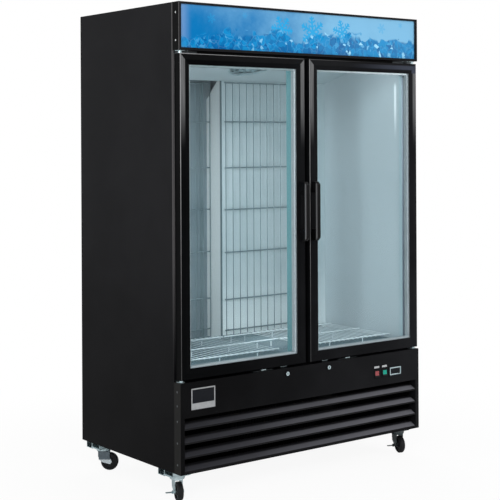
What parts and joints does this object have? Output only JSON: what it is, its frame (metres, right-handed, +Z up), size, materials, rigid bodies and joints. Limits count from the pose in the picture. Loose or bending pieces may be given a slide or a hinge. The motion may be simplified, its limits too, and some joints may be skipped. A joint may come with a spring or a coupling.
{
  "type": "ice merchandiser freezer",
  "caption": "Upright ice merchandiser freezer with two glass swing doors, lit header sign, louvred lower front, blown-air evaporator, condensing unit and brake casters.",
  "frame": {"origin": "on the floor, under the centre of the bounding box (the handles at the front included)", "axes": "+X to the right of someone facing the doors, +Y from the doors to the back, +Z up from the floor"},
  "size_m": [1.384, 0.845, 2.085],
  "materials": {
    "black_paint": "satin",
    "black_plastic": "satin",
    "louvre_paint": "satin",
    "galvanised": "satin",
    "zinc": "satin",
    "white_liner": "satin",
    "foam": "matte",
    "clear_glass": "gloss",
    "sign_plastic": "gloss",
    "lamp": "gloss",
    "gasket_rubber": "matte",
    "wheel_rubber": "satin",
    "steel_wire": "satin",
    "aluminium_sheet": "satin",
    "red_plastic": "gloss",
    "green_plastic": "gloss",
    "white_wire": "satin",
    "compressor_paint": "satin"
  },
  "bodies": {
    "cabinet": {"left_side_panel": "black_paint", "right_side_panel": "black_paint", "top_panel": "black_paint", "back_panel": "black_paint", "insulation": "foam", "inner_liner": "white_liner", "front_frame": "black_plastic", "header_box": "black_paint", "sign_panel": "sign_plastic", "sign_lamp": "lamp", "left_top_hinge": "zinc", "left_bottom_hinge": "zinc", "right_top_hinge": "zinc", "right_bottom_hinge": "zinc", "lower_panel": "black_paint", "louvre_grille": "louvre_paint", "badge_plate": "aluminium_sheet", "controller": "black_plastic", "base_frame": "galvanised", "evaporator_cover": "white_liner", "evaporator_fan_guard": "steel_wire", "evaporator_coil": "aluminium_sheet", "air_duct": "white_liner", "duct_guard": "white_wire", "back_guard": "white_wire", "left_floor_rack": "white_wire", "right_floor_rack": "white_wire", "condenser_coil": "aluminium_sheet", "condenser_shroud": "galvanised", "compressor": "compressor_paint"},
    "left_door": {"left_door_frame": "black_paint", "left_door_outer_glass": "clear_glass", "left_door_inner_glass": "clear_glass", "left_door_gasket": "gasket_rubber", "left_door_handle": "black_plastic", "left_lock_keeper": "zinc"},
    "right_door": {"right_door_frame": "black_paint", "right_door_outer_glass": "clear_glass", "right_door_inner_glass": "clear_glass", "right_door_gasket": "gasket_rubber", "right_door_handle": "black_plastic", "right_lock_keeper": "zinc"},
    "left_lock_plug": {"left_lock": "zinc"},
    "right_lock_plug": {"right_lock": "zinc"},
    "lamp_rocker": {"lamp_switch": "red_plastic"},
    "power_rocker": {"power_switch": "green_plastic"},
    "up_key": {"key_up": "black_plastic"},
    "down_key": {"key_down": "black_plastic"},
    "evaporator_fan": {"evaporator_fan_blades": "aluminium_sheet"},
    "condenser_fan": {"condenser_fan_blades": "aluminium_sheet"},
    "front_left_caster": {"front_left_fork": "zinc"},
    "front_left_caster_wheel": {"front_left_wheel": "wheel_rubber"},
    "front_left_caster_brake": {"front_left_brake": "zinc"},
    "front_right_caster": {"front_right_fork": "zinc"},
    "front_right_caster_wheel": {"front_right_wheel": "wheel_rubber"},
    "front_right_caster_brake": {"front_right_brake": "zinc"},
    "rear_left_caster": {"rear_left_fork": "zinc"},
    "rear_left_caster_wheel": {"rear_left_wheel": "wheel_rubber"},
    "rear_right_caster": {"rear_right_fork": "zinc"},
    "rear_right_caster_wheel": {"rear_right_wheel": "wheel_rubber"}
  },
  "joints": [
    {"name": "left_door_swing", "type": "hinge", "parent": "cabinet", "child": "left_door", "pos_m": [-0.674, -0.3645, 1.1925], "axis": [0, 0, -1], "range_deg": [0, 100]},
    {"name": "right_door_swing", "type": "hinge", "parent": "cabinet", "child": "right_door", "pos_m": [0.674, -0.3645, 1.1925], "axis": [0, 0, 1], "range_deg": [0, 100]},
    {"name": "left_lock_turn", "type": "hinge", "parent": "cabinet", "child": "left_lock_plug", "pos_m": [-0.121, -0.3745, 0.48], "axis": [0, 1, 0], "range_deg": [0, 90]},
    {"name": "right_lock_turn", "type": "hinge", "parent": "cabinet", "child": "right_lock_plug", "pos_m": [0.121, -0.3745, 0.48], "axis": [0, -1, 0], "range_deg": [0, 90]},
    {"name": "lamp_rocker_tilt", "type": "hinge", "parent": "cabinet", "child": "lamp_rocker", "pos_m": [0.417, -0.3805, 0.414], "axis": [1, 0, 0], "range_deg": [0, 16]},
    {"name": "power_rocker_tilt", "type": "hinge", "parent": "cabinet", "child": "power_rocker", "pos_m": [0.4665, -0.3805, 0.414], "axis": [1, 0, 0], "range_deg": [0, 16]},
    {"name": "up_key_press", "type": "slide", "parent": "cabinet", "child": "up_key", "axis": [0, 1, 0], "range_m": [0, 0.001], "stiffness_N_per_m": 600, "springref_m": -0.0005},
    {"name": "down_key_press", "type": "slide", "parent": "cabinet", "child": "down_key", "axis": [0, 1, 0], "range_m": [0, 0.001], "stiffness_N_per_m": 600, "springref_m": -0.0005},
    {"name": "evaporator_fan_spin", "type": "hinge", "parent": "cabinet", "child": "evaporator_fan", "pos_m": [0, 0.0265, 1.8512], "axis": [0, 0.2628, 0.9648], "continuous": true},
    {"name": "condenser_fan_spin", "type": "hinge", "parent": "cabinet", "child": "condenser_fan", "pos_m": [-0.125, -0.1945, 0.2623], "axis": [0, 1, 0], "continuous": true},
    {"name": "front_left_swivel", "type": "hinge", "parent": "cabinet", "child": "front_left_caster", "pos_m": [-0.644, -0.2865, 0.09], "axis": [0, 0, 1], "continuous": true},
    {"name": "front_left_wheel_roll", "type": "hinge", "parent": "front_left_caster", "child": "front_left_caster_wheel", "pos_m": [-0.65324, -0.31187, 0.04], "axis": [0.9397, -0.342, 0], "continuous": true},
    {"name": "front_left_brake_press", "type": "hinge", "parent": "front_left_caster", "child": "front_left_caster_brake", "pos_m": [-0.65324, -0.31187, 0.04], "axis": [-0.9397, 0.342, 0], "range_deg": [0, 15]},
    {"name": "front_right_swivel", "type": "hinge", "parent": "cabinet", "child": "front_right_caster", "pos_m": [0.644, -0.2865, 0.09], "axis": [0, 0, 1], "continuous": true},
    {"name": "front_right_wheel_roll", "type": "hinge", "parent": "front_right_caster", "child": "front_right_caster_wheel", "pos_m": [0.63477, -0.31187, 0.04], "axis": [0.9397, -0.342, 0], "continuous": true},
    {"name": "front_right_brake_press", "type": "hinge", "parent": "front_right_caster", "child": "front_right_caster_brake", "pos_m": [0.63477, -0.31187, 0.04], "axis": [-0.9397, 0.342, 0], "range_deg": [0, 15]},
    {"name": "rear_left_swivel", "type": "hinge", "parent": "cabinet", "child": "rear_left_caster", "pos_m": [-0.644, 0.3105, 0.09], "axis": [0, 0, 1], "continuous": true},
    {"name": "rear_left_wheel_roll", "type": "hinge", "parent": "rear_left_caster", "child": "rear_left_caster_wheel", "pos_m": [-0.62244, 0.29425, 0.04], "axis": [0.6018, 0.7986, 0], "continuous": true},
    {"name": "rear_right_swivel", "type": "hinge", "parent": "cabinet", "child": "rear_right_caster", "pos_m": [0.644, 0.3105, 0.09], "axis": [0, 0, 1], "continuous": true},
    {"name": "rear_right_wheel_roll", "type": "hinge", "parent": "rear_right_caster", "child": "rear_right_caster_wheel", "pos_m": [0.61863, 0.30127, 0.04], "axis": [0.342, -0.9397, 0], "continuous": true}
  ]
}
